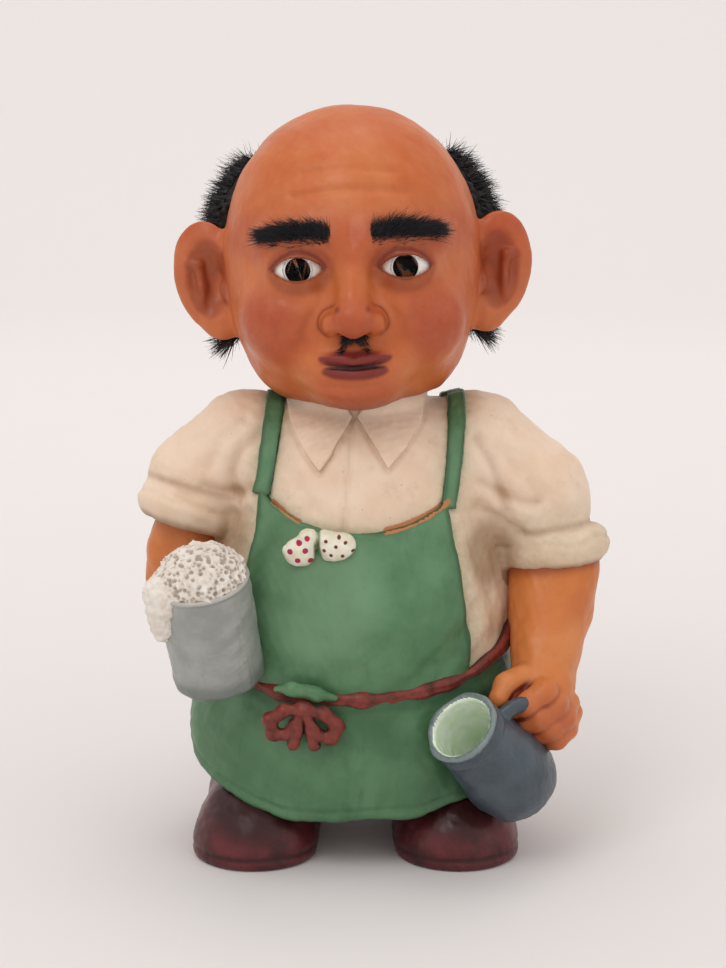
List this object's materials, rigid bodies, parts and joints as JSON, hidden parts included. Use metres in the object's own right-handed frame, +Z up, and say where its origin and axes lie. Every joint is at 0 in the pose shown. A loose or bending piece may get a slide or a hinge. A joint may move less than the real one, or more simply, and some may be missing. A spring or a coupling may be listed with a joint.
{
  "type": "garden gnome",
  "caption": "Stout nodding garden figure of an innkeeper with apron, full mug and empty jug, on a spring neck.",
  "frame": {"origin": "on the ground under the middle of the figure's bounding box", "axes": "+Z up, the figure faces -Y, its right hand is at -X"},
  "size_m": [0.1922, 0.148, 0.2999],
  "materials": {
    "vinyl_body": "painted vinyl, satin",
    "vinyl_skin": "painted vinyl, satin",
    "plaster": "matte",
    "plug_wood": "turned, raw",
    "spring_steel": "bright",
    "mug_paint": "satin",
    "froth": "matte, pitted",
    "jug_paint": "satin",
    "eye_white": "gloss",
    "iris": "gloss",
    "cornea": "clear gloss",
    "fur": "long pile"
  },
  "bodies": {
    "figure": {"body_shell": "vinyl_body", "ballast": "plaster", "neck_plug": "plug_wood", "seat_screw": "spring_steel", "stein": "mug_paint", "stein_foam": "froth", "jug": "jug_paint"},
    "swivel": {"spring_seat": "spring_steel"},
    "spring": {"neck_spring": "spring_steel"},
    "head": {"head_shell": "vinyl_skin", "head_plug": "plug_wood", "head_seat": "spring_steel", "head_screw": "spring_steel", "eye_white_right": "eye_white", "eye_white_left": "eye_white", "iris_right": "iris", "iris_left": "iris", "cornea_right": "cornea", "cornea_left": "cornea", "hair_fringe": "fur", "eyebrow_right": "fur", "eyebrow_left": "fur", "moustache": "fur"}
  },
  "joints": [
    {"name": "head_turn", "type": "hinge", "parent": "figure", "child": "swivel", "pos_m": [-0.00576, 0.0125, 0.19], "axis": [0, 0, 1], "range_deg": [-25, 25]},
    {"name": "head_sway", "type": "hinge", "parent": "swivel", "child": "spring", "pos_m": [-0.00576, 0.0125, 0.1988], "axis": [0, 1, 0], "range_deg": [-4, 4], "stiffness_Nm_per_rad": 0.5, "deforming": ["neck_spring"]},
    {"name": "head_nod", "type": "hinge", "parent": "spring", "child": "head", "pos_m": [-0.00576, 0.0125, 0.1988], "axis": [1, 0, 0], "range_deg": [-5, 5], "stiffness_Nm_per_rad": 0.5, "deforming": ["neck_spring"]}
  ]
}
